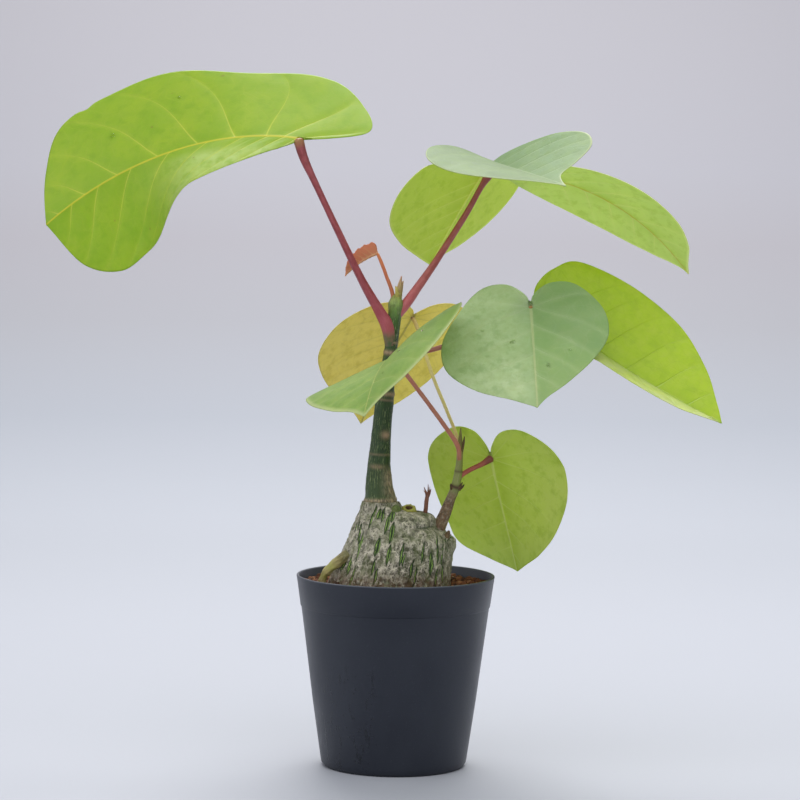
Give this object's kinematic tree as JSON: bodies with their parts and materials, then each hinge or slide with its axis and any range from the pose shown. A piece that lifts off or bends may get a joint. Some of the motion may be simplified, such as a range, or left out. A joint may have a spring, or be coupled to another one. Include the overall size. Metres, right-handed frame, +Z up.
{
  "type": "potted shaving brush tree",
  "caption": "Young shaving brush tree with a swollen grey-green stem base, red leaf stalks and broad heart-shaped leaves in a round dark nursery pot.",
  "frame": {"origin": "centre of the pot's underside, where it stands", "axes": "+Z up along the pot's axis, +X to the right and +Y away from the viewer in the front view"},
  "size_m": [0.3082, 0.157, 0.3154],
  "materials": {
    "pot": "satin",
    "soil": "matte",
    "caudex": "matte",
    "main_stem": "matte",
    "side_branch": "matte",
    "dead_twig": "matte",
    "tip_bud": "satin",
    "side_bud": "satin",
    "petiole_top_left": "satin",
    "petiole_top_right": "satin",
    "petiole_young": "satin",
    "petiole_heart": "satin",
    "petiole_yellow": "satin",
    "petiole_edge": "satin",
    "petiole_lower": "satin",
    "leaf_top_left": "satin",
    "leaflet_front": "satin",
    "leaflet_lower_left": "satin",
    "leaflet_right": "satin",
    "leaf_young": "satin",
    "leaf_yellow": "satin",
    "leaf_edge": "satin",
    "leaf_heart": "satin",
    "leaf_bright": "satin",
    "leaf_lower": "satin"
  },
  "bodies": {
    "root": {"pot": "pot", "soil": "soil", "caudex": "caudex", "main_stem": "main_stem", "side_branch": "side_branch", "dead_twig": "dead_twig", "tip_bud": "tip_bud", "side_bud": "side_bud", "petiole_top_left": "petiole_top_left", "petiole_top_right": "petiole_top_right", "petiole_young": "petiole_young", "petiole_heart": "petiole_heart", "petiole_yellow": "petiole_yellow", "petiole_edge": "petiole_edge", "petiole_lower": "petiole_lower", "leaf_top_left": "leaf_top_left", "leaflet_front": "leaflet_front", "leaflet_lower_left": "leaflet_lower_left", "leaflet_right": "leaflet_right", "leaf_young": "leaf_young", "leaf_yellow": "leaf_yellow", "leaf_edge": "leaf_edge", "leaf_heart": "leaf_heart", "leaf_bright": "leaf_bright", "leaf_lower": "leaf_lower"}
  },
  "joints": []
}
